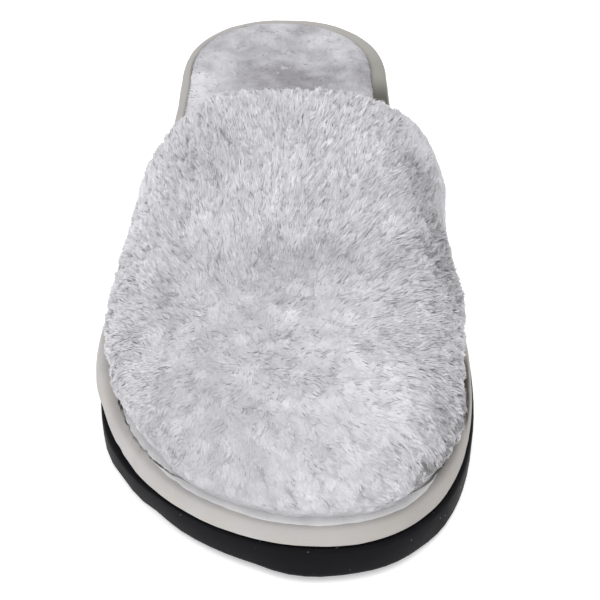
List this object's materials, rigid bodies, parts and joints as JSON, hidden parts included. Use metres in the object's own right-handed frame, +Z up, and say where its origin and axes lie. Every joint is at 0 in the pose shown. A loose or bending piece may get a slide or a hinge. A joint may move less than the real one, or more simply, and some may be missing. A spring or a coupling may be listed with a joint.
{
  "type": "slipper",
  "caption": "Closed-toe, open-back house slipper for the right foot: plush fleece upper and insole, microsuede-wrapped platform and a black rubber outsole.",
  "frame": {"origin": "on the floor, under the centre of the slipper's box", "axes": "+Z up from the floor, +Y from the toe to the heel, +X to the medial (big toe) side"},
  "size_m": [0.11, 0.2704, 0.0743],
  "materials": {
    "fleece": "plush grey pile, matte",
    "sock": "short grey pile, matted by wear",
    "microsuede": "smooth brushed beige-grey",
    "rubber": "satin black"
  },
  "bodies": {
    "root": {"upper": "fleece", "insole": "sock", "platform": "microsuede", "outsole": "rubber"}
  },
  "joints": []
}
